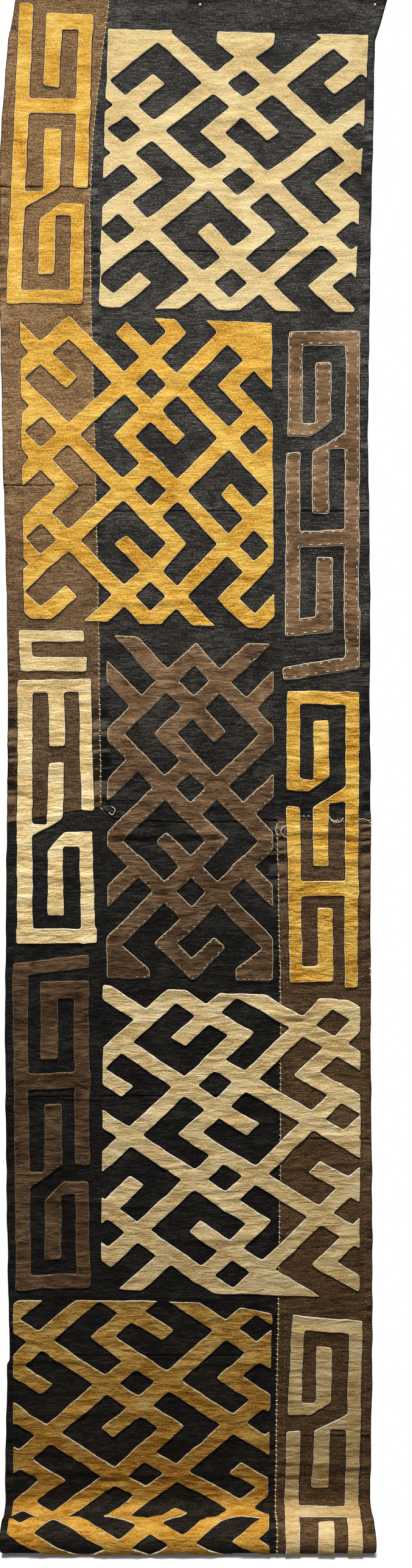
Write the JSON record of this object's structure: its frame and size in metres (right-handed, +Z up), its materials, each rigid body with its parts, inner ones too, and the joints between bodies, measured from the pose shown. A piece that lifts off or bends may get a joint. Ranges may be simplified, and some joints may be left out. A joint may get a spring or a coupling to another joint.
{
  "type": "long raffia wall cloth with pins",
  "caption": "Long pieced raffia cloth with interlaced and hooked cut-out work sewn on, pinned flat at its top edge, its lower end wound into a roll.",
  "frame": {"origin": "on the pin line at the top edge, on the back face of the cloth, near the middle of its width", "axes": "+X to the viewer's right, +Y away from the viewer through the cloth, +Z up along the hang"},
  "size_m": [0.737, 0.0867, 2.9143],
  "materials": {
    "raffia_black": "matt black plain-woven raffia",
    "raffia_brown": "matt brown plain-woven raffia with slubs",
    "raffia_russet": "matt brown raffia, applied, with cream running stitches",
    "raffia_gold": "matt gold raffia, applied, with turned edges",
    "raffia_cream": "matt cream raffia, applied, with turned edges",
    "raffia_rolled": "wound turns of the same cloth",
    "pin_steel": "bright steel"
  },
  "bodies": {
    "root": {"brown_left_top": "raffia_brown", "brown_left_middle": "raffia_brown", "brown_left_low": "raffia_brown", "black_upper_top": "raffia_black", "black_upper_middle": "raffia_black", "black_upper_low": "raffia_black", "black_lower_top": "raffia_black", "black_lower_middle": "raffia_black", "black_lower_end": "raffia_black", "brown_right_top": "raffia_brown", "brown_right_middle": "raffia_brown", "brown_right_end": "raffia_brown", "cream_lattice_upper": "raffia_cream", "gold_lattice_upper": "raffia_gold", "brown_lattice": "raffia_russet", "cream_lattice_lower": "raffia_cream", "gold_lattice_lower": "raffia_gold", "gold_hook_left": "raffia_gold", "brown_hook_right": "raffia_russet", "gold_hook_right": "raffia_gold", "cream_bracket": "raffia_cream", "cream_hook_left": "raffia_cream", "brown_hook_left": "raffia_russet", "cream_hook_right": "raffia_cream", "rolled_length": "raffia_rolled", "pin_middle": "pin_steel", "pin_right": "pin_steel"}
  },
  "joints": []
}
